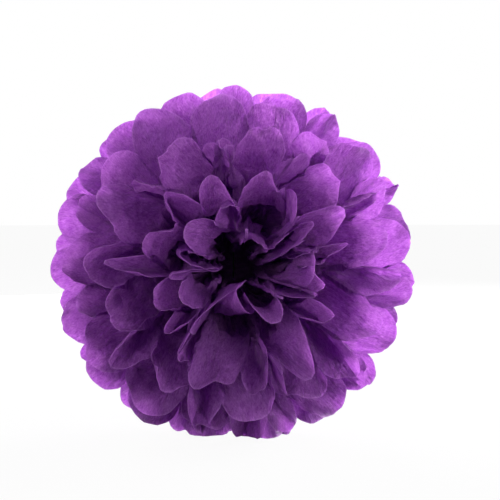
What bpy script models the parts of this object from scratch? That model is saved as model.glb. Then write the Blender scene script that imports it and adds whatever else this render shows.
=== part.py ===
"""Tissue paper pom pom, modelled in Blender in metres with +Z up.

Ten sheets of tissue are pleated together, gathered at the middle by a loop of twisted wire and cut round at
both ends. Each half of a pleated sheet opens into a half circle of petals, one petal to a pleat, so that the
two halves make a full ring. The ten rings are pulled apart along the pom pom's axis into a ball: the first
sheet is the cup of the front flower, the middle ones are nearly flat and the last is the cup at the back.

The pom pom stands on a table with its axis level. The front flower faces -Y, and the origin lies on the
table under the middle of the ball.
"""

import math

import bmesh
import bpy
from mathutils import Vector, noise

# The tissue as it is cut, before it is pleated
SHEET_LENGTH = 0.300
SHEET_WIDTH = 0.500
SHEETS = 10
PLEATS = 10
TISSUE_THICKNESS = 0.0003

# How the sheets are gathered at the wire
GATHER_PITCH = 0.0019
GATHER_DEPTH = 0.0004
SHEET_STEP = 0.00085
NECK = 0.003
FAN_RADIUS = 0.0115
BUNDLE_ROUNDING = 0.00005

# The wire that ties the bundle
WIRE_DIAMETER = 0.0009
WIRE_CLEARANCE = 0.0003
TWIST_LENGTH = 0.012
TWIST_TURNS = 2

# How the sheets are pulled apart, as angles from the pom pom's axis
STEP_AT_HUB = math.radians(17.2)
STEP_AT_RIM = math.radians(15.5)
LEAST_FROM_AXIS = math.radians(9)

# The two seams where the halves meet, counted from +X towards +Z, and how far they stay apart there
UPPER_SEAM = math.radians(91.0)
LOWER_SEAM = math.radians(-69.0)
SEAM_GAP = 0.0014

# How far the petals depart from a regular ring. PINCHED is a folded petal's share of the ring against a broad
# one's, and UNEVENNESS is how much of that difference shows in the model.
FULLNESS_AT_HUB = 0.47
FULLNESS_AT_RIM = 0.95
CUP_ANGLE = math.radians(3.0)
STAGGER = 0.25
PINCHED = 0.12
UNEVENNESS = 0.33
GENTLE_LIFT = math.radians(3.2)
LIVELY_LIFT = math.radians(1.6)

# Where the tie stands along the axis, so that the ball's middle is over the origin
TIE_SETBACK = -0.0016

# How much the table flattens the ball, and how far the lowest petals sag towards the table
FLATTENING = 0.010
SAG = math.radians(4.6)

TISSUE_COLOUR = (0.150, 0.030, 0.245, 1.0)
WIRE_COLOUR = (0.035, 0.110, 0.045, 1.0)

PLEAT_WIDTH = SHEET_WIDTH / PLEATS
HALF_LENGTH = SHEET_LENGTH / 2
NOTCH = HALF_LENGTH - PLEAT_WIDTH / 2
TIE_HEIGHT = HALF_LENGTH - FLATTENING
MIDDLE = (SHEETS - 1) / 2
BUNDLE_HALF_WIDTH = GATHER_PITCH * PLEATS / 2
BUNDLE_HALF_DEPTH = SHEET_STEP * MIDDLE + GATHER_DEPTH
FAN_START = NECK + FAN_RADIUS


def clear_scene():
    for obj in list(bpy.data.objects):
        bpy.data.objects.remove(obj)


def part_collection():
    collection = bpy.data.collections.new("tissue_pom_pom")
    bpy.context.scene.collection.children.link(collection)
    return collection


def paper_material():
    material = bpy.data.materials.new("violet_tissue")
    material.use_nodes = True
    shader = material.node_tree.nodes["Principled BSDF"]
    shader.inputs["Base Color"].default_value = TISSUE_COLOUR
    shader.inputs["Roughness"].default_value = 0.75
    return material


def wire_material():
    material = bpy.data.materials.new("green_lacquered_wire")
    material.use_nodes = True
    shader = material.node_tree.nodes["Principled BSDF"]
    shader.inputs["Base Color"].default_value = WIRE_COLOUR
    shader.inputs["Roughness"].default_value = 0.4
    shader.inputs["Metallic"].default_value = 0.6
    return material


def gentle_noise(kind, sheet, half, fold):
    """From about -1 to 1, changing gently from fold to fold and from sheet to sheet."""
    return 1.7 * noise.noise(Vector((0.91 * fold + 31.7 * half, 0.47 * sheet + 5.3, 7.77 * kind)))


def lively_noise(kind, sheet, half, fold):
    """From about -1 to 1, different for every fold and sheet."""
    return 1.8 * noise.noise(Vector((5.13 * fold + 0.37, 3.91 * sheet + 17.1 * half, 9.31 * kind + 0.5)))


def smooth_step(low, high, value):
    share = min(max((value - low) / (high - low), 0.0), 1.0)
    return share * share * (3 - 2 * share)


def shared_out(shares, total, most):
    """Widths in the ratio of the shares that add up to the total, none of them more than the most."""
    low, high = 0.0, 50 * total
    for _ in range(40):
        scale = (low + high) / 2
        widths = [min(share * scale, most) for share in shares]
        low, high = (scale, high) if sum(widths) < total else (low, scale)
    return [width * total / sum(widths) for width in widths]


def fold_places(sheet, half):
    """Where the folds stand round the rim, in pleats, with some petals opened wide and others left pinched."""
    petals = range(PLEATS)
    values = [gentle_noise(1, sheet, half, 2.3 * p) + 0.45 * lively_noise(2, sheet, half, p) for p in petals]
    ranks = [sum(other < value for other in values) / (PLEATS - 1) for value in values]
    openness = [PINCHED + (1 - PINCHED) * smooth_step(0.15, 0.75, rank) for rank in ranks]
    span = UPPER_SEAM - LOWER_SEAM if half > 0 else LOWER_SEAM + 2 * math.pi - UPPER_SEAM
    total = span * HALF_LENGTH * math.cos((sheet - MIDDLE) * STEP_AT_RIM)
    widths = shared_out(openness, total, max(PLEAT_WIDTH, 1.001 * total / PLEATS))
    return [sum(widths[:f]) / total * PLEATS for f in range(PLEATS + 1)]


def between_folds(values, place):
    """The value at a place across the pleats, from those at the folds on either side."""
    fold = min(int(place), PLEATS - 1)
    share = place - fold
    return values[fold] * (1 - share) + values[fold + 1] * share


def zigzag(place):
    """1 on a fold that points to the front, -1 on one that points to the back."""
    share = place - math.floor(place)
    forward = 1 if int(math.floor(place)) % 2 == 0 else -1
    return forward * (1 - 2 * share)


def pleat_swing(distance, lean, opened):
    """How far, as an angle, a fold stands in front of or behind its ring, at a distance from the tie."""
    pitch = distance * math.sin(lean) * math.pi / PLEATS
    half_depth = 0.5 * math.sqrt(max(PLEAT_WIDTH**2 - pitch**2, 0.0))
    fullness = FULLNESS_AT_HUB + (FULLNESS_AT_RIM - FULLNESS_AT_HUB) * opened
    room = min(lean, math.pi - lean) - LEAST_FROM_AXIS
    return min(fullness * half_depth / distance, room)


class SheetLayout:
    """Where one sheet's folds lie once the pom pom is fluffed out."""

    def __init__(self, sheet):
        self.offset = sheet - MIDDLE
        self.turn = (STAGGER if sheet % 2 == 0 else -STAGGER) * math.pi / PLEATS
        self.polar, self.swerve = {}, {}
        for half in (1, -1):
            span = UPPER_SEAM - LOWER_SEAM if half > 0 else UPPER_SEAM - LOWER_SEAM - 2 * math.pi
            self.swerve[half] = [
                UNEVENNESS * (place - fold) * span / PLEATS for fold, place in enumerate(fold_places(sheet, half))
            ]
            self.polar[half] = [
                GENTLE_LIFT * gentle_noise(6, sheet, half, f) + LIVELY_LIFT * lively_noise(7, sheet, half, f)
                for f in range(PLEATS + 1)
            ]

    def bundle_point(self, half, place, share):
        """A point of the gathered stretch, from the wire at share 0 to the round start of the fan at 1."""
        across = 2 * place / PLEATS - 1
        depth = self.offset * SHEET_STEP
        swing = GATHER_DEPTH * zigzag(place)
        start = Vector((0, depth - swing, BUNDLE_HALF_WIDTH * across))
        turn = across * (math.pi / 2)
        lean = math.pi / 2 + self.offset * STEP_AT_HUB
        inward = swing * math.cos(lean) * math.sqrt(math.cos(0.98 * turn))
        radius = FAN_RADIUS - BUNDLE_ROUNDING * self.offset**2 - inward
        depth -= swing * math.sin(lean)
        end = Vector((half * (NECK + radius * math.cos(turn)), depth, radius * math.sin(turn)))
        return start.lerp(end, share)

    def azimuth(self, half, place, reach):
        """The way a fold points round the axis, from +X towards +Z: half 1 is the right one, -1 the left."""
        closing = math.atan2(NECK - SEAM_GAP / 2, reach) - math.atan2(SEAM_GAP / 2, reach)
        first = LOWER_SEAM - closing if half > 0 else LOWER_SEAM + 2 * math.pi + closing
        last = UPPER_SEAM + half * closing
        return first + (last - first) * place / PLEATS

    def point(self, half, place, distance):
        """A point of the sheet at a distance from the tie along the paper."""
        neck = self.bundle_point(half, place, min(distance / FAN_START, 1.0))
        reach = distance - FAN_START
        if reach <= 0:
            return neck
        share = reach / (HALF_LENGTH - FAN_START)
        opened = share * share
        azimuth = self.azimuth(half, place, max(reach, FAN_RADIUS))
        azimuth += opened * (self.turn + between_folds(self.swerve[half], place))
        down = max(-math.sin(azimuth), 0.0) ** 4
        loose = opened * (1 - down)
        step = STEP_AT_HUB + (STEP_AT_RIM - STEP_AT_HUB) * opened
        ring = math.pi / 2 + self.offset * step
        lean = ring - pleat_swing(reach, ring, opened) * zigzag(place)
        lean += loose * between_folds(self.polar[half], place)
        lean += loose * CUP_ANGLE * (1 - zigzag(place) ** 2)
        lean -= opened * down * SAG * (self.offset - math.copysign(0.5, self.offset))
        ray = Vector((math.sin(lean) * math.cos(azimuth), -math.cos(lean), math.sin(lean) * math.sin(azimuth)))
        return neck + reach * ray


def round_end(place):
    """The paper's length from the tie to its scalloped end, which is a half circle to each pleat."""
    across = 2 * (place - math.floor(place)) - 1
    if place == math.floor(place):
        return NOTCH
    return NOTCH + PLEAT_WIDTH / 2 * math.sqrt(1 - across**2)


def flat_sheet():
    """One sheet laid flat: x counts pleats from 0 to PLEATS, and y is the distance from the tie."""
    rows = [-HALF_LENGTH, -0.70 * HALF_LENGTH, -0.34 * HALF_LENGTH, -FAN_START, 0.0]
    rows += [-y for y in reversed(rows[:-1])]
    paper = bmesh.new()
    bmesh.ops.create_grid(paper, x_segments=2 * PLEATS, y_segments=len(rows) - 1, size=1)
    for vert in paper.verts:
        row = round((vert.co.y + 1) / 2 * (len(rows) - 1))
        vert.co = Vector(((vert.co.x + 1) / 2 * PLEATS, rows[row], 0))
    ends = [
        edge
        for edge in paper.edges
        if all(abs(abs(vert.co.y) - HALF_LENGTH) < 1e-6 for vert in edge.verts)
    ]
    bmesh.ops.subdivide_edges(paper, edges=ends, cuts=1)
    for vert in paper.verts:
        vert.co.x = round(vert.co.x * 4) / 4
        if abs(abs(vert.co.y) - HALF_LENGTH) < 1e-6:
            vert.co.y = math.copysign(round_end(vert.co.x), vert.co.y)
    return paper


def stand_on_table(paper):
    """Lift the sheet to its place over the table, and bend up the tips that would reach below the table top."""
    bmesh.ops.translate(paper, verts=paper.verts[:], vec=(0, TIE_SETBACK, TIE_HEIGHT))
    for vert in paper.verts:
        vert.co.z = max(vert.co.z, TISSUE_THICKNESS / 6)


def tissue_sheet(sheet, collection, material):
    layout = SheetLayout(sheet)
    paper = flat_sheet()
    for vert in paper.verts:
        half = 1 if vert.co.y >= 0 else -1
        vert.co = layout.point(half, vert.co.x, abs(vert.co.y))
    stand_on_table(paper)
    bmesh.ops.triangulate(paper, faces=paper.faces[:])
    bmesh.ops.recalc_face_normals(paper, faces=paper.faces[:])
    mesh = bpy.data.meshes.new(f"tissue_sheet_{sheet + 1:02d}")
    paper.to_mesh(mesh)
    paper.free()
    mesh.materials.append(material)
    obj = bpy.data.objects.new(mesh.name, mesh)
    collection.objects.link(obj)
    wall = obj.modifiers.new("paper_thickness", "SOLIDIFY")
    wall.thickness = TISSUE_THICKNESS
    wall.offset = 0.0
    return obj


def wire_path():
    """The wire's centreline: in along one strand of the twist, round the bundle and out along the other."""
    radius = WIRE_DIAMETER / 2
    clear = TISSUE_THICKNESS / 2 + WIRE_CLEARANCE + radius
    high = BUNDLE_HALF_WIDTH + clear
    deep = BUNDLE_HALF_DEPTH + clear
    corner = clear
    strand = radius + WIRE_CLEARANCE
    steps = 10 * TWIST_TURNS
    twist = []
    for i in range(steps + 1):
        turn = 2 * math.pi * TWIST_TURNS * i / steps
        up = high + 6 * radius + TWIST_LENGTH * i / steps
        twist.append((strand * math.sin(turn), strand * math.cos(turn), up))
    loop = []
    for quarter, (side, end) in enumerate(((1, 1), (1, -1), (-1, -1), (-1, 1))):
        for i in range(5):
            angle = math.pi / 2 * (1 - quarter - i / 4)
            y = side * (deep - corner) + corner * math.cos(angle)
            z = end * (high - corner) + corner * math.sin(angle)
            loop.append((0.0, y, z))
    return list(reversed(twist)) + loop + [(-x, -y, z) for x, y, z in twist]


def wire_tie(collection, material):
    curve = bpy.data.curves.new("wire_tie", "CURVE")
    curve.dimensions = "3D"
    curve.bevel_depth = WIRE_DIAMETER / 2
    curve.bevel_resolution = 1
    curve.use_fill_caps = True
    points = wire_path()
    spline = curve.splines.new("POLY")
    spline.points.add(len(points) - 1)
    for place, (x, y, z) in zip(spline.points, points):
        place.co = (x, y, z, 1.0)
    curve.materials.append(material)
    obj = bpy.data.objects.new("wire_tie", curve)
    obj.location = (0, TIE_SETBACK, TIE_HEIGHT)
    collection.objects.link(obj)
    return obj


def main():
    clear_scene()
    collection = part_collection()
    paper = paper_material()
    for sheet in range(SHEETS):
        tissue_sheet(sheet, collection, paper)
    wire_tie(collection, wire_material())


main()
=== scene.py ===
# %% [markdown]
# # A tissue paper pom pom
# Ten sheets of thin dyed tissue are pleated together, tied at the middle, cut round at both ends and pulled
# apart one by one into a ball. The CAD model gives the size, the tie and the ring that each sheet makes. This
# file makes each sheet again as one fine, curved piece of paper and gives it the look of dyed tissue, with
# light coming through it.

import math

import bpy
import numpy as np
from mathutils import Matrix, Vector, noise


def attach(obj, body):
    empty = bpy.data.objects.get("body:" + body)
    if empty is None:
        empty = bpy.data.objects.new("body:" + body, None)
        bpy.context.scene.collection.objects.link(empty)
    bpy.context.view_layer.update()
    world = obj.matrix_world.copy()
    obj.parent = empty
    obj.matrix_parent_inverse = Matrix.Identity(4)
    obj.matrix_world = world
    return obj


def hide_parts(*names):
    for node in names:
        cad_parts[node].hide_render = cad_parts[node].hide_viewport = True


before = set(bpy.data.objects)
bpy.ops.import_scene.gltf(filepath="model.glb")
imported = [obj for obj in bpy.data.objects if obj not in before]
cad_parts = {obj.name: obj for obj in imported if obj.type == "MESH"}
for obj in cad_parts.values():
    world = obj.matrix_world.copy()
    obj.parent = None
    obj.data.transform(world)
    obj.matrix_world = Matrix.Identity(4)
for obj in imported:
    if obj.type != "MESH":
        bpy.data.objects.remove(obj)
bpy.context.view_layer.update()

# %% [markdown]
# The tissue is measured flat, as it was cut. Every later step works from these few sizes, so the paper keeps
# its area when it is folded: a petal is as wide as its pleat, however it stands. All lengths are in metres.

# %% Sizes of the tissue and of the gathered middle
SHEETS = 10
PLEATS = 10
SHEET_LENGTH = 0.300
SHEET_WIDTH = 0.500
PAPER = 0.00018
PLEAT = SHEET_WIDTH / PLEATS
HALF_LENGTH = SHEET_LENGTH / 2
NOTCH = HALF_LENGTH - PLEAT / 2  # from the tie to where two round ends meet

TIE = Vector((0.0, -0.0016, 0.140))
NECK = 0.003  # half the bundle's thickness under the wire
BUNDLE_HALF = 0.0095
FAN_RADIUS = 0.0115
FAN_START = NECK + FAN_RADIUS

# %% [markdown]
# A sheet starts as a flat grid. Its columns are counted in pleats, with more of them near the folds, and its rows
# run from the tie to the round-cut ends.

# %% A flat sheet
COLUMNS = 20  # to each pleat
ROWS = 48  # to each half
BUNDLE_ROWS = 4  # of those, under the wire


def flat_tissue(name):
    bpy.ops.object.select_all(action="DESELECT")
    bpy.ops.mesh.primitive_grid_add(x_subdivisions=COLUMNS * PLEATS, y_subdivisions=2 * ROWS, size=1)
    sheet = bpy.context.object
    sheet.name = name
    sheet.data.name = name
    return sheet


def grid_places(sheet):
    """For each vertex: how many pleats across it lies, and its signed row from the tie."""
    flat = np.empty(len(sheet.data.vertices) * 3)
    sheet.data.vertices.foreach_get("co", flat)
    flat = flat.reshape(-1, 3)
    column = np.rint((flat[:, 0] + 0.5) * PLEATS * COLUMNS)
    petal = np.minimum(column // COLUMNS, PLEATS - 1)
    share = column / COLUMNS - petal
    place = petal + (1 - np.cos(math.pi * share)) / 2
    row = np.rint(flat[:, 1] * 2 * ROWS)
    return place, row


def way_out(row):
    """0 up to the edge of the gathered bundle, 1 at the rim."""
    return np.clip((row - BUNDLE_ROWS) / (ROWS - BUNDLE_ROWS), 0, 1)


def paper_length(across):
    """From the tie to the scalloped end, a half circle to each pleat."""
    return NOTCH + PLEAT / 2 * np.sqrt(np.clip(1 - (2 * across - 1) ** 2, 0, 1))


print("points in a sheet", (COLUMNS * PLEATS + 1) * (2 * ROWS + 1))

# %% [markdown]
# Each half of a sheet opens like a fan until its edges meet those of the other half, at an upper and a lower seam.
# Pulled apart, every sheet leans a step further back than the one in front of it. The first is nearly a closed
# cup round the axis, the middle ones stand straight out, and the last ones close again at the back.

# %% Rings and seams
STEP_AT_HUB = math.radians(17.2)
STEP_AT_RIM = math.radians(15.5)
TRUMPET = 3.0  # how late the step changes from one to the other
UPPER_SEAM = math.radians(91)
LOWER_SEAM = math.radians(-69)
SEAM_NECK = 0.0012
SEAM_OVERLAP = 0.004
SEAM_STEP = 0.0022  # how far one half lies in front of the other where they overlap

# How far each sheet's upper and lower seam has drifted from the tie's two sides, in degrees, front to back
SEAM_DRIFT = ((0, 0), (0, 0), (5, -3), (-5, -9), (8, 2), (-6, -8), (6, -1), (-4, -8), (5, -2), (0, 0))


def first_seam(sheet, half):
    seam = LOWER_SEAM + math.radians(SEAM_DRIFT[sheet][1])
    return seam if half > 0 else seam + 2 * math.pi


def last_seam(sheet):
    return UPPER_SEAM + math.radians(SEAM_DRIFT[sheet][0])


def from_middle(sheet):
    """The sheet's number counted from the middle of the ball, below zero in front."""
    return sheet - (SHEETS - 1) / 2


def broad_first(sheet):
    return sheet % 2 == 0


for sheet in (0, SHEETS - 1):
    lean = 90 + math.degrees(STEP_AT_RIM) * from_middle(sheet)
    print("sheet", sheet + 1, "stands", round(lean, 1), "degrees from the front axis")

# %% [markdown]
# No two petals open alike. Neighbours bend in much the same way, so one noise changes gently over the folds and
# sheets, and a livelier one sets single petals apart. Neither draws random numbers: both depend only on the place.

# %% Unevenness


def gentle_noise(seed, sheet, half, fold):
    """From about -1 to 1, changing gently from fold to fold and from sheet to sheet."""
    return 1.7 * noise.noise(Vector((0.91 * fold + 31.7 * half, 0.47 * sheet + 5.3, 7.77 * seed)))


def lively_noise(seed, sheet, half, fold):
    """From about -1 to 1, different for every fold and sheet."""
    return 1.8 * noise.noise(Vector((5.13 * fold + 0.37, 3.91 * sheet + 17.1 * half, 9.31 * seed + 0.5)))


def lively_petals(seed, sheet, half):
    return np.array([lively_noise(seed, sheet, half, petal) for petal in range(PLEATS)])


def smooth_step(low, high, value):
    share = np.clip((value - low) / (high - low), 0, 1)
    return share * share * (3 - 2 * share)


print("noise of the first petals", [round(lively_noise(5, 0, 1, petal), 2) for petal in range(3)])

# %% [markdown]
# The two front sheets make the flower that faces the camera, so their petals are listed one by one. The right half
# (1) and the left half (-1) both count up from the lower seam.

# %% The front flower
# How wide each pair of petals opens, against the other pairs
FRONT_PAIRS = {
    (0, -1): (1.20, 0.15, 1.50, 0.25, 1.90),
    (0, 1): (1.60, 0.15, 1.45, 0.20, 1.60),
    (1, -1): (1.20, 0.25, 1.15, 1.10, 1.30),
    (1, 1): (1.10, 1.50, 0.20, 0.75, 1.45),
}
# How far each fold leans outwards from its ring, in degrees
FRONT_LIFT = {
    (0, 1): (-20, -13, -9, -9, -2, -4, -6, -9, -12, -14, -16),
    (0, -1): (-9, -27, 7, -8, -7, -9, -12, -12, -11, -8, -2),
    (1, 1): (-5, -7, -16, -20, -18, -19, -17, -16, -11, -6, -15),
    (1, -1): (-9, -2, 0, -12, -20, -17, -16, -9, -9, -18, -20),
}
# A petal that folds over the middle of the flower: where its folds stand at the rim, counted in pleats from the
# lower seam, and how wide it and its neighbour lie open
OVER_THE_MIDDLE = {(0, -1): ({0: -0.7, 1: 4.2, 2: 2.9}, {0: 0.045, 1: 0.049})}
# Blades seen in the photograph: which sheet, half and petal, and how far each leans over
FRONT_BLADES = {(2, -1, 9): 0.010, (1, 1, 8): -0.012, (3, 1, 8): -0.012}
print("halves set by eye", len(FRONT_PAIRS), "blades set by eye", len(FRONT_BLADES))

# %% [markdown]
# Near the tie the pleats stay a regular zigzag. Further out they go in pairs: a broad petal that faces outwards,
# and one that folds back behind the next broad petal, because the ring is shorter than the paper's edge.

# %% Pairs of petals
PAIRS = PLEATS // 2
WIDTH_SPREAD = 0.62
TUCK_SPREAD = 0.5
OVERLAP = 0.010  # of a broad petal over the next pair
FRONT_OVERLAP = 0.008  # as much more in the first sheet
MOST_OPEN = 0.97 * PLEAT


def pair_weights(sheet, half):
    """How wide each pair of petals opens, against the others of its half."""
    if (sheet, half) in FRONT_PAIRS:
        weight = np.array(FRONT_PAIRS[sheet, half])
    else:
        gentle = np.array([gentle_noise(1, sheet, half, 2 * pair) for pair in range(PAIRS)])
        lively = np.array([lively_noise(2, sheet, half, pair) for pair in range(PAIRS)])
        spread = WIDTH_SPREAD * min(1, 0.3 + abs(from_middle(sheet)) / 3)
        weight = 1 + spread * (0.5 * gentle + 0.5 * lively)
    return weight * PAIRS / weight.sum()


def overlaps(sheet, half, weight):
    """How far each broad petal reaches over the next pair."""
    uneven = np.array([1 + TUCK_SPREAD * lively_noise(8, sheet, half, pair) for pair in range(PAIRS)])
    return uneven * ((OVERLAP + FRONT_OVERLAP * max(1 - sheet / 2, 0)) * np.minimum(weight, 1))


def petal_widths(sheet, ring, opened, weight, overlap):
    """How wide every petal of a half stands in a ring that is this long."""
    pair = ring / PAIRS * weight**opened
    pair *= ring / pair.sum()
    broad = np.minimum(pair * (0.5 + 0.5 * opened) + overlap * opened, np.maximum(MOST_OPEN, pair / 2))
    in_order = [broad, pair - broad] if broad_first(sheet) else [pair - broad, broad]
    return np.column_stack(in_order).ravel()


print("pair widths of the middle sheet", pair_weights(SHEETS // 2, 1).round(2))

# %% [markdown]
# Behind the front flower a few of the folded petals stand up as narrow blades, more of them in the upper half, and
# every fold leans a little in or out of its ring.

# %% Blades and leaning folds
BLADE_BIAS = 0.55  # towards the top of the ball
BLADE_FROM = 0.25  # the noise above which a folded petal stands up
BLADE_FALL = 0.016
BROAD_FALL = 0.004
CLOSED = -9.0  # degrees, towards the front or the back, whichever is nearer
UNEVEN_LEAN = 3.2  # degrees


def blades(sheet, half):
    """Which petals stand up as blades, and how far each petal has fallen over to a side."""
    stand, fall = np.zeros(PLEATS), np.zeros(PLEATS)
    first, last = first_seam(sheet, half), last_seam(sheet)
    for petal in range(PLEATS):
        azimuth = first + (last - first) * (petal + 0.5) / PLEATS
        lively = lively_noise(11, sheet, half, petal)
        upright = lively + BLADE_BIAS * math.sin(azimuth) > BLADE_FROM
        if (petal % 2 == 0) == broad_first(sheet):
            fall[petal] = BROAD_FALL * lively
        elif (sheet, half, petal) in FRONT_BLADES:
            stand[petal], fall[petal] = 1, FRONT_BLADES[sheet, half, petal]
        elif sheet > 1 and abs(from_middle(sheet)) > 1 and upright:
            stand[petal], fall[petal] = 1, BLADE_FALL * lively_noise(12, sheet, half, petal)
    return stand, fall


def fold_leans(sheet, half):
    """How far each fold leans away from its ring at the rim: outwards above zero in front."""
    if (sheet, half) in FRONT_LIFT:
        return np.radians(FRONT_LIFT[sheet, half])
    offset = from_middle(sheet)
    closed = -np.sign(offset) * CLOSED * np.clip((abs(offset) - 0.5) / 2, 0, 1)
    gentle = np.array([gentle_noise(6, sheet, half, fold) for fold in range(PLEATS + 1)])
    lively = np.array([lively_noise(7, sheet, half, fold) for fold in range(PLEATS + 1)])
    return np.radians(closed + (UNEVEN_LEAN * gentle + UNEVEN_LEAN * lively))


for sheet in range(2, SHEETS):
    print("sheet", sheet + 1, "blades", int(blades(sheet, 1)[0].sum() + blades(sheet, -1)[0].sum()))

# %% [markdown]
# What has been decided about one sheet is kept together, row by row: how far it leans, where its folds stand, and
# how wide its petals are. The folds swing to the front and the back of the ring only as far as the neighbouring
# sheets leave room.

# %% One opened sheet
OPENS_FROM, OPENS_BY = 0.08, 0.70  # of the way out
HUB_SHARE = 0.8  # of the fan's radius, where the rings begin
LEAST_REACH = 0.006  # nearer the tie, a fold's height is reckoned from here
LEAST_FROM_AXIS = math.radians(4)
MOST_SWING = 0.15
RIM_SWING = 0.013
LEAST_SWING = 0.004
CURL, CURL_SPREAD = 1.0, 9.0  # degrees
TWIST = 15.0  # degrees
RUFFLE = math.radians(2.4)
FRONT_LOOSENESS = 0.1  # the first sheet's tips hardly twist or ruffle


class OpenedSheet:
    """How the petals and folds of one sheet stand, in every row from the tie to the rim."""

    def __init__(self, sheet):
        self.sheet = sheet
        self.offset = from_middle(sheet)
        self.away = 1.0 if self.offset < 0 else -1.0
        outer = way_out(np.arange(ROWS + 1))
        reach = outer * (HALF_LENGTH - FAN_START)
        self.lean = math.pi / 2 + self.offset * (STEP_AT_HUB + (STEP_AT_RIM - STEP_AT_HUB) * outer**TRUMPET)
        self.opened = smooth_step(OPENS_FROM, OPENS_BY, outer)
        self.radius = HUB_SHARE * FAN_RADIUS + reach * np.sin(self.lean)
        room = np.minimum(np.minimum(self.lean, math.pi - self.lean) - LEAST_FROM_AXIS, MOST_SWING)
        most_swing = np.maximum(reach, LEAST_REACH) * room
        self.limit = most_swing * (1 - self.opened) + np.minimum(most_swing, RIM_SWING) * self.opened
        looseness = FRONT_LOOSENESS if sheet == 0 else 1.0
        self.ruffle_height = RUFFLE * looseness
        self.place, self.chord, self.height = {}, {}, {}
        self.lift, self.stand, self.fall = {}, {}, {}
        self.curl, self.twist, self.ruffle = {}, {}, {}
        for half in (1, -1):
            self.open_half(half)
            self.lift[half] = fold_leans(sheet, half)
            self.stand[half], self.fall[half] = blades(sheet, half)
            self.curl[half] = np.radians(CURL + CURL_SPREAD * lively_petals(5, sheet, half))
            self.twist[half] = np.radians(TWIST * looseness * lively_petals(9, sheet, half))
            self.ruffle[half] = lively_petals(10, sheet, half)

    def open_half(self, half):
        """Where the folds stand round the ring, how wide the petals are, and how high the folds swing."""
        weight = pair_weights(self.sheet, half)
        overlap = overlaps(self.sheet, half, weight)
        ring = abs(last_seam(self.sheet) - first_seam(self.sheet, half)) * self.radius
        sign = np.where(np.arange(PLEATS + 1) % 2 == 0, -1.0, 1.0)
        folds, widths = OVER_THE_MIDDLE.get((self.sheet, half), ({}, {}))
        places = np.zeros((ROWS + 1, PLEATS + 1))
        chords = np.zeros((ROWS + 1, PLEATS))
        heights = np.zeros((ROWS + 1, PLEATS + 1))
        for row, opened in enumerate(self.opened):
            chords[row] = petal_widths(self.sheet, ring[row], opened, weight, overlap)
            places[row, 1:] = np.cumsum(chords[row]) / ring[row] * PLEATS
            spare = np.sqrt(np.clip(MOST_OPEN**2 - chords[row] ** 2, 0, None))
            least = np.minimum(np.append(spare, spare[-1]), np.insert(spare, 0, spare[0]))
            swing = np.clip(0.5 * least, LEAST_SWING * opened, self.limit[row])
            swing[[0, -1]] *= 1 - opened
            heights[row] = sign * swing
            heights[row, [0, -1]] += half * SEAM_STEP * opened
            for fold, place in folds.items():
                places[row, fold] += (place - places[row, fold]) * opened
            for petal, width in widths.items():
                chords[row, petal] += (width - chords[row, petal]) * opened
        self.place[half], self.chord[half], self.height[half] = places, chords, heights


opened_sheets = [OpenedSheet(sheet) for sheet in range(SHEETS)]
print("widest ring", round(max(sheet.radius[-1] for sheet in opened_sheets), 3), "from the axis")

# %% [markdown]
# Now a point of the flat paper can be put in its place. Between two folds the paper's spare width bulges out as an
# arch. Towards its tip a petal curls, twists and ruffles. The part under the wire stays a small tight zigzag.

# %% Fold the paper
ARCH_AT_HUB, ARCH_AT_RIM = 0.12, 0.40
ARCH_SHARE = 0.47  # of the spare width
LEAST_BULGE = 0.15  # in the middle of the ball, where the sheets lie closest
NARROW = 0.006  # a petal narrower than this doesn't bulge in full
BLADE_DEPTH = 1.7  # a blade bulges to the front of the ring, by this much less one
TIP_FROM, TIP_LENGTH = 0.080, 0.055
RUFFLES = 1.4  # across a petal
SHEET_PITCH = 0.00085  # from sheet to sheet under the wire
ZIGZAG = 0.0004
FAN_NARROWS = 0.00005  # towards the front and the back sheet


def between(values, petal, across):
    """The value at a place across a petal, from those at the folds on either side."""
    return values[petal] * (1 - across) + values[petal + 1] * across


def paper_leans(opened_sheet, half, row, petal, across, reach):
    """The angle of each point from the front axis."""
    opened = opened_sheet.opened[row]
    safe = np.maximum(reach, LEAST_REACH)
    low, high = opened_sheet.height[half][row, petal], opened_sheet.height[half][row, petal + 1]
    chord = opened_sheet.chord[half][row, petal]
    spare = np.sqrt(np.clip(PLEAT**2 - chord**2 - (high - low) ** 2, 0, None))
    bulge = np.clip((abs(opened_sheet.offset) - 0.3) / 2.2, LEAST_BULGE, 1)
    most_arch = ARCH_AT_HUB + (ARCH_AT_RIM - ARCH_AT_HUB) * opened
    depth = np.minimum(ARCH_SHARE * spare, most_arch * safe) * bulge * np.clip(chord / NARROW, 0, 1)
    stand = opened_sheet.stand[half][petal] * opened
    arch = 1 - (2 * across - 1) ** 2
    height = low + (high - low) * across + opened_sheet.away * (1 - BLADE_DEPTH * stand) * depth * arch
    lean = opened_sheet.lean[row] + height / safe
    lean += way_out(row) ** 2 * between(opened_sheet.lift[half], petal, across)

    tip = np.clip((reach - TIP_FROM) / TIP_LENGTH, 0, None) ** 2
    curl = opened_sheet.curl[half][petal] * (0.25 + 0.75 * np.sin(math.pi * across))
    twist = opened_sheet.twist[half][petal] * (2 * across - 1) * arch
    wave = np.sin(2 * math.pi * (RUFFLES * across + opened_sheet.ruffle[half][petal]))
    return lean + tip * (opened_sheet.away * curl + twist + opened_sheet.ruffle_height * wave * arch)


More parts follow.
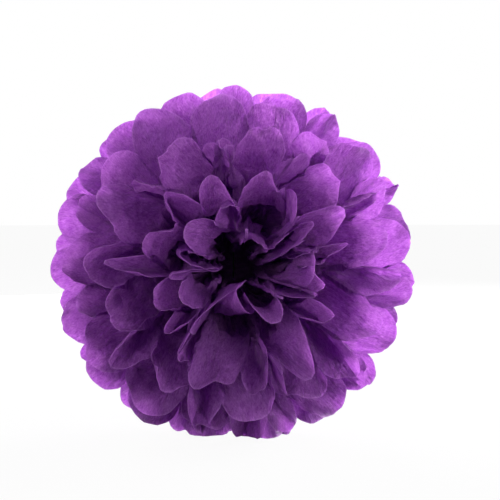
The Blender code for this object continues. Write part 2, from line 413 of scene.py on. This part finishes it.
def paper_azimuths(opened_sheet, half, row, petal, across, reach):
    """The angle of each point round the axis."""
    closing = half * np.arctan2(SEAM_NECK + SEAM_OVERLAP / 2, np.maximum(reach, FAN_RADIUS))
    first = first_seam(opened_sheet.sheet, half) - closing
    pleat_angle = (last_seam(opened_sheet.sheet) + closing - first) / PLEATS
    low, high = opened_sheet.place[half][row, petal], opened_sheet.place[half][row, petal + 1]
    arch = 1 - (2 * across - 1) ** 2
    fallen = half * opened_sheet.opened[row] * opened_sheet.fall[half][petal] * arch
    from_axis = np.maximum(reach, 0.03) * np.sin(opened_sheet.lean[row])
    return first + pleat_angle * (low + (high - low) * across) + fallen / from_axis


def gathered_middle(opened_sheet, half, place, row, petal, across):
    """Where each point's line leaves the bundle that the wire holds."""
    offset = opened_sheet.offset
    zigzag = np.where(petal % 2 == 0, 2 * across - 1, 1 - 2 * across)
    side = 2 * place / PLEATS - 1
    turn = side * math.pi / 2
    fan_radius = FAN_RADIUS - FAN_NARROWS * offset**2
    neck = SEAM_NECK + (NECK - SEAM_NECK) * np.sqrt(np.clip(np.cos(turn), 0, 1))
    depth = offset * SHEET_PITCH + ZIGZAG * zigzag
    start = np.stack([np.zeros_like(place), depth, BUNDLE_HALF * side], 1)
    end = np.stack([half * (neck + fan_radius * np.cos(turn)), depth, fan_radius * np.sin(turn)], 1)
    return start + (end - start) * np.clip(row / BUNDLE_ROWS, 0, 1)[:, None]


def fold_half(opened_sheet, half, place, row):
    """Where the points of one half lie round the tie, and how far each has come from the bundle's edge."""
    row = row.astype(int)
    petal = np.clip(np.floor(place + 1e-9).astype(int), 0, PLEATS - 1)
    across = np.clip(place - petal, 0, 1)
    reach = way_out(row) * (paper_length(across) - FAN_START)
    lean = paper_leans(opened_sheet, half, row, petal, across, reach)
    azimuth = paper_azimuths(opened_sheet, half, row, petal, across, reach)
    ray = np.stack([np.sin(lean) * np.cos(azimuth), -np.cos(lean), np.sin(lean) * np.sin(azimuth)], 1)
    base = gathered_middle(opened_sheet, half, place, row, petal, across)
    return base + reach[:, None] * ray, reach


rim, _ = fold_half(opened_sheets[0], 1, np.arange(PLEATS) + 0.5, np.full(PLEATS, ROWS))
print("the first sheet's right tips reach", (-rim[:, 1]).round(3), "to the front of the tie")

# %% [markdown]
# Thin tissue never lies quite smooth. Each point is pushed a few millimetres at most off the surface, by noises on
# its place on the flat paper: shallow dents, long soft creases that run out from the tie, ridges and crinkles.
# Round the tie the paper is gathered in small ripples.

# %% Creases and dents
# Size across and along the paper and height in millimetres, and where the noise is read
DENTS = (17, 20, 2.2, 0.0)
CREASES = (6, 28, 0.9, 3.1)
RIDGES = (13, 17, 2.2, 6.4)
CRINKLES = (8, 10, 2.0, 8.2)
FRONT_CRUMPLE = 0.55  # the two front sheets are calmer
GATHER_SPACING = 10.0
GATHER_HEIGHT = 2.0
FRONT_GATHER = 1.5


def paper_noise(x, y, sheet, form):
    across, along, _, seed = form
    return noise.noise(Vector((x / across, y / along, 11.3 * sheet + seed)))


def crumple(flat_mm, reach, sheet):
    offsets = np.empty(len(flat_mm))
    for i, (x, y) in enumerate(flat_mm):
        offsets[i] = (
            DENTS[2] * paper_noise(x, y, sheet, DENTS)
            + CREASES[2] * paper_noise(x, y, sheet, CREASES)
            + RIDGES[2] * (1 - 2 * abs(paper_noise(x, y, sheet, RIDGES)))
            + CRINKLES[2] * abs(paper_noise(x, y, sheet, CRINKLES))
        )
    offsets *= np.clip(reach / 0.05, 0, 1) * (FRONT_CRUMPLE if sheet < 2 else 1.0)
    gathers = np.sin(2 * math.pi * flat_mm[:, 0] / GATHER_SPACING) * GATHER_HEIGHT
    gathers *= smooth_step(0.004, 0.02, reach) * (1 - smooth_step(0.055, 0.10, reach))
    gathers *= FRONT_GATHER if sheet == 0 else 1.0
    return (offsets + gathers) * 0.001


def surface_normals(points, columns, rows):
    """Normals of a grid of points, from its two directions."""
    grid = points.reshape(rows, columns, 3)
    normal = np.cross(np.gradient(grid, axis=1), np.gradient(grid, axis=0))
    normal /= np.maximum(np.linalg.norm(normal, axis=2, keepdims=True), 1e-12)
    return normal.reshape(-1, 3)


sample = crumple(np.array([[120.0, 90.0], [125.0, 90.0]]), np.array([0.075, 0.075]), 4)
print("two points 5 mm apart are pushed", (sample * 1000).round(1), "mm")

# %% [markdown]
# The ten sheets are folded. The lowest tips are bent up where the ball stands on the table, and Solidify gives the
# paper its thickness. Where each point lies on the flat paper, and how far it is from the cut edge, stays with it
# as an attribute, so the paper's fibres and creases follow every fold.

# %% Fold the sheets


def lay_out(index, place, row):
    """All the points of a sheet, and how far along the paper each lies from the tie."""
    points, reach = np.empty((len(place), 3)), np.empty(len(place))
    for half in (1, -1):
        mine = row >= 0 if half > 0 else row < 0
        points[mine], reach[mine] = fold_half(opened_sheets[index], half, place[mine], np.abs(row[mine]))
    along = np.clip(np.abs(row) / BUNDLE_ROWS, 0, 1) * FAN_START + reach
    flat_mm = np.stack([place * PLEAT, along * np.sign(row)], 1) * 1000
    normals = surface_normals(points, COLUMNS * PLEATS + 1, 2 * ROWS + 1)
    points += normals * crumple(flat_mm, reach, index)[:, None]
    points += np.array(TIE)
    points[:, 2] = np.maximum(points[:, 2], PAPER)
    return points, along, flat_mm


def fold_sheet(index):
    sheet = flat_tissue(f"folded_tissue_{index + 1:02d}")
    place, row = grid_places(sheet)
    order = np.lexsort((place, row))
    place, row = place[order], row[order]
    points, along, flat_mm = lay_out(index, place, row)
    to_mesh = np.empty_like(order)
    to_mesh[order] = np.arange(len(order))
    sheet.data.vertices.foreach_set("co", points[to_mesh].ravel())

    on_paper = np.column_stack([flat_mm, np.full(len(place), 37.0 * index)])
    paper_map = sheet.data.attributes.new("place_on_paper_mm", "FLOAT_VECTOR", "POINT")
    paper_map.data.foreach_set("vector", on_paper[to_mesh].ravel())
    petal_across = place - np.clip(np.floor(place + 1e-9), 0, PLEATS - 1)
    from_edge = (paper_length(petal_across) - along) * 1000
    edge = sheet.data.attributes.new("from_cut_edge_mm", "FLOAT", "POINT")
    edge.data.foreach_set("value", from_edge[to_mesh])
    sheet.data.update()

    wall = sheet.modifiers.new("paper", "SOLIDIFY")
    wall.thickness = PAPER
    wall.offset = 0
    bpy.ops.object.modifier_apply(modifier=wall.name)
    bpy.ops.object.shade_smooth_by_angle(angle=math.radians(60))
    return sheet


sheets = []
for index in range(SHEETS):
    sheet = fold_sheet(index)
    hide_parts(f"tissue_sheet_{index + 1:02d}")
    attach(sheet, "root")
    sheets.append(sheet)

# %% [markdown]
# Materials are built from named colours, written as they look on a screen and turned to linear light by one
# function. Another adds a node with its settings and links, and a third uses it to mix two colours.

# %% Colour and node helpers


def linear(hex_colour):
    channels = [int(hex_colour[i : i + 2], 16) / 255 for i in (1, 3, 5)]
    return [c / 12.92 if c <= 0.04045 else ((c + 0.055) / 1.055) ** 2.4 for c in channels] + [1.0]


def add_node(tree, kind, values=None, links=None, **settings):
    """A node with its properties set, its sockets given values, and its inputs linked from other sockets."""
    node = tree.nodes.new(kind)
    for key, value in settings.items():
        setattr(node, key, value)
    for key, value in (values or {}).items():
        node.inputs[key].default_value = value
    for key, socket in (links or {}).items():
        tree.links.new(socket, node.inputs[key])
    return node


def mix_colours(tree, first, second, share):
    """A blend of two colours. The first may also come from another node."""
    values, links = {"B": linear(second)}, {"Factor": share}
    if isinstance(first, str):
        values["A"] = linear(first)
    else:
        links["A"] = first
    return add_node(tree, "ShaderNodeMix", values, links, data_type="RGBA").outputs["Result"]


def empty_material(name):
    material = bpy.data.materials.new(name)
    material.use_nodes = True
    material.node_tree.nodes.clear()
    return material, material.node_tree


print("violet in linear light", [round(channel, 3) for channel in linear("#89479B")])

# %% [markdown]
# Dyed tissue paper is a thin web of fibres. Clouds of fibres a few millimetres wide, and single fibres along the
# sheet, make it paler and darker. Creases and crinkles from the folding catch the light.

# %% Fibres and creases


def fibre_mottle(tree, flat_mm):
    """From 0 where the web is thick to 1 where it is thin."""
    clouds = add_node(
        tree, "ShaderNodeTexNoise", {"Scale": 0.16, "Detail": 6.0, "Roughness": 0.72}, {"Vector": flat_mm}
    )
    stretched = add_node(tree, "ShaderNodeMapping", {"Scale": (1.0, 0.35, 1)}, {"Vector": flat_mm})
    fibres = add_node(
        tree,
        "ShaderNodeTexNoise",
        {"Scale": 1.1, "Detail": 4.0, "Roughness": 0.7},
        {"Vector": stretched.outputs["Vector"]},
    )
    both = add_node(
        tree,
        "ShaderNodeMath",
        {1: 0.5},
        {0: clouds.outputs["Fac"], 2: fibres.outputs["Fac"]},
        operation="MULTIPLY_ADD",
    )
    spread = add_node(
        tree,
        "ShaderNodeMapRange",
        {"From Min": 0.52, "From Max": 0.98, "To Min": 0.0, "To Max": 1.0},
        {"Value": both.outputs["Value"]},
    )
    return spread.outputs["Result"]


def paper_relief(tree, flat_mm):
    """Creases that run out from the tie, with crinkles about a centimetre apart."""
    stretched = add_node(tree, "ShaderNodeMapping", {"Scale": (1.0, 0.2, 1)}, {"Vector": flat_mm})
    creases = add_node(
        tree,
        "ShaderNodeTexNoise",
        {"Scale": 0.35, "Detail": 3.0, "Roughness": 0.55},
        {"Vector": stretched.outputs["Vector"]},
    )
    crinkles = add_node(
        tree,
        "ShaderNodeTexVoronoi",
        {"Scale": 0.085, "Detail": 1.0, "Randomness": 1.0},
        {"Vector": flat_mm},
        feature="F1",
    )
    both = add_node(
        tree,
        "ShaderNodeMath",
        {1: 0.6},
        {0: crinkles.outputs["Distance"], 2: creases.outputs["Fac"]},
        operation="MULTIPLY_ADD",
    )
    relief = add_node(
        tree, "ShaderNodeBump", {"Strength": 0.8, "Distance": 0.0022}, {"Height": both.outputs["Value"]}
    )
    return relief.outputs["Normal"]


print("fibre clouds about", round(1 / 0.16, 1), "mm apart, crinkles about", round(1 / 0.085, 1), "mm")

# %% [markdown]
# Much of the light that meets tissue paper goes through it, and comes out brighter than the light it reflects, so
# the shader mixes a matt surface with a translucent one. The cut edge is paler: partly where the fibres stand
# open, and partly a painted highlight for the thin light rims where the paper's edges catch the light.

# %% Dyed tissue
GOES_THROUGH = 0.6


def dyed_tissue():
    material, tree = empty_material("dyed_violet_tissue")
    flat_mm = add_node(tree, "ShaderNodeAttribute", attribute_name="place_on_paper_mm").outputs["Vector"]
    mottle = fibre_mottle(tree, flat_mm)
    relief = paper_relief(tree, flat_mm)
    cut_edge = add_node(tree, "ShaderNodeAttribute", attribute_name="from_cut_edge_mm")
    # Painted highlight: the colour turns paler within about 2 mm of the cut edge. This stands for the light the
    # thin edges catch, together with the open fibres.
    open_fibres_and_edge_highlight = add_node(
        tree,
        "ShaderNodeMapRange",
        {"From Min": 0.3, "From Max": 1.8, "To Min": 0.75, "To Max": 0.0},
        {"Value": cut_edge.outputs["Fac"]},
    )
    face = mix_colours(tree, "#89479B", "#BF7FD1", mottle)
    # D9A0E8 is the painted edge highlight, with the open fibres' paler tone.
    face = mix_colours(tree, face, "#D9A0E8", open_fibres_and_edge_highlight.outputs["Result"])
    glow = mix_colours(tree, "#C47CD9", "#F4C4FD", mottle)
    surface = add_node(
        tree,
        "ShaderNodeBsdfPrincipled",
        {"Roughness": 0.55, "IOR": 1.45, "Specular IOR Level": 0.35},
        {"Base Color": face, "Normal": relief},
    )
    through = add_node(tree, "ShaderNodeBsdfTranslucent", {}, {"Color": glow, "Normal": relief})
    paper = add_node(
        tree,
        "ShaderNodeMixShader",
        {"Fac": GOES_THROUGH},
        {1: surface.outputs["BSDF"], 2: through.outputs["BSDF"]},
    )
    add_node(tree, "ShaderNodeOutputMaterial", {}, {"Surface": paper.outputs["Shader"]})
    return material


tissue = dyed_tissue()
for sheet in sheets:
    sheet.data.materials.clear()
    sheet.data.materials.append(tissue)
print("material", tissue.name, "on", len(sheets), "sheets")

# %% [markdown]
# The tie is florist's wire: soft steel with a coat of green lacquer. Only a trace of it can be seen between the
# petals, so the CAD solid is kept and gets the lacquer's colour and shine.

# %% Lacquered wire


def lacquered_wire():
    material, tree = empty_material("green_lacquered_wire")
    place = add_node(tree, "ShaderNodeTexCoord").outputs["Object"]
    wear = add_node(tree, "ShaderNodeTexNoise", {"Scale": 900.0, "Detail": 3.0}, {"Vector": place})
    colour = mix_colours(tree, "#2E5A38", "#3F6B48", wear.outputs["Fac"])
    surface = add_node(
        tree, "ShaderNodeBsdfPrincipled", {"Roughness": 0.35, "IOR": 1.5}, {"Base Color": colour}
    )
    add_node(tree, "ShaderNodeOutputMaterial", {}, {"Surface": surface.outputs["BSDF"]})
    return material


wire = bpy.data.objects["wire_tie"]
lacquer = lacquered_wire()
for slot in wire.material_slots:
    slot.material = lacquer
print("material", lacquer.name, "on", wire.name)

# %% [markdown]
# The pom pom stands on a white table. It glows white to the camera, and what is left of its matt surface keeps a
# faint shadow.

# %% Table
TABLE_SIZE = 12
TABLE_GLOW = 0.94


def white_table():
    material, tree = empty_material("white_table")
    seen = add_node(tree, "ShaderNodeLightPath").outputs["Is Camera Ray"]
    matt = add_node(tree, "ShaderNodeBsdfDiffuse", {"Color": linear("#F2F2F2")})
    glow = add_node(tree, "ShaderNodeEmission", {"Color": linear("#FFFFFF")}, {"Strength": seen})
    mix = add_node(
        tree, "ShaderNodeMixShader", {"Fac": TABLE_GLOW}, {1: matt.outputs["BSDF"], 2: glow.outputs["Emission"]}
    )
    add_node(tree, "ShaderNodeOutputMaterial", {}, {"Surface": mix.outputs["Shader"]})
    return material


bpy.ops.object.select_all(action="DESELECT")
bpy.ops.mesh.primitive_plane_add(size=TABLE_SIZE, location=(0, 0, 0))
table = bpy.context.object
table.name = "table_top"
table.data.materials.append(white_table())
print("table", table.name)

# %% [markdown]
# The room is white to the camera, in reflections and through clear things, and lights the paper softly from all
# round.

# %% Room
ROOM_LIGHT = 0.29

world = bpy.data.worlds.new("white_room")
bpy.context.scene.world = world
world.use_nodes = True
tree = world.node_tree
tree.nodes.clear()
rays = add_node(tree, "ShaderNodeLightPath").outputs
shown = rays["Is Camera Ray"]
for ray in ("Is Glossy Ray", "Is Transmission Ray"):
    either = add_node(tree, "ShaderNodeMath", {}, {0: shown, 1: rays[ray]}, operation="MAXIMUM")
    shown = either.outputs["Value"]
soft = add_node(tree, "ShaderNodeBackground", {"Color": linear("#FFFFFF"), "Strength": ROOM_LIGHT})
white = add_node(tree, "ShaderNodeBackground", {"Color": linear("#FFFFFF"), "Strength": 1.0})
mix = add_node(
    tree, "ShaderNodeMixShader", {}, {0: shown, 1: soft.outputs["Background"], 2: white.outputs["Background"]}
)
add_node(tree, "ShaderNodeOutputWorld", {}, {"Surface": mix.outputs["Shader"]})
print("room", world.name)

# %% [markdown]
# Most of the light comes through the paper, from two strong lamps behind the ball: one on the right and one a
# little to the left. Two weak lamps in front, right and left, keep the petals' faces from going black.

# %% Lamps
# Place, size in metres and power in watts
LAMPS = {
    "key_lamp": ((1.0, -1.2, 0.35), 0.6, 10),
    "fill_lamp": ((-1.2, -1.2, 0.25), 0.8, 9),
    "rim_lamp": ((1.3, 1.0, 0.10), 1.0, 129),
    "back_lamp": ((-0.5, 1.4, 0.06), 0.9, 90),
}

for name, (place, size, power) in LAMPS.items():
    bpy.ops.object.light_add(type="AREA", location=place)
    lamp = bpy.context.object
    lamp.name = name
    lamp.data.size = size
    lamp.data.energy = power
    lamp.rotation_euler = (TIE - Vector(place)).to_track_quat("-Z", "Y").to_euler()
print("lamps", list(LAMPS))

# %% [markdown]
# The camera looks along +Y from a little above, at the height of the tie, through a long lens. The picture is
# shifted so that the ball stands a little left of the middle, as in the photograph.

# %% Camera
CAMERA_DISTANCE = 1.15
CAMERA_ELEVATION = math.radians(3)
CAMERA_AZIMUTH = math.radians(-3)
AIM = Vector((0.0, 0.0, 0.1455))
FRAME_WIDTH = 0.4125  # seen at the ball
SENSOR = 36
PICTURE = 500  # pixels
SHIFT = (17, 8)

direction = Vector(
    (
        math.sin(CAMERA_AZIMUTH) * math.cos(CAMERA_ELEVATION),
        -math.cos(CAMERA_AZIMUTH) * math.cos(CAMERA_ELEVATION),
        math.sin(CAMERA_ELEVATION),
    )
)
bpy.ops.object.camera_add(location=AIM + direction * CAMERA_DISTANCE)
camera = bpy.context.object
camera.rotation_euler = (-direction).to_track_quat("-Z", "Y").to_euler()
camera.data.sensor_width = SENSOR
camera.data.lens = SENSOR * CAMERA_DISTANCE / FRAME_WIDTH
camera.data.shift_x, camera.data.shift_y = SHIFT[0] / PICTURE, SHIFT[1] / PICTURE
camera.data.clip_start = 0.05
bpy.context.scene.camera = camera
bpy.context.scene.view_settings.view_transform = "Standard"
print("lens", round(camera.data.lens, 1), "mm")

# %% [markdown]
# Last, the view layer is updated.

bpy.context.view_layer.update()
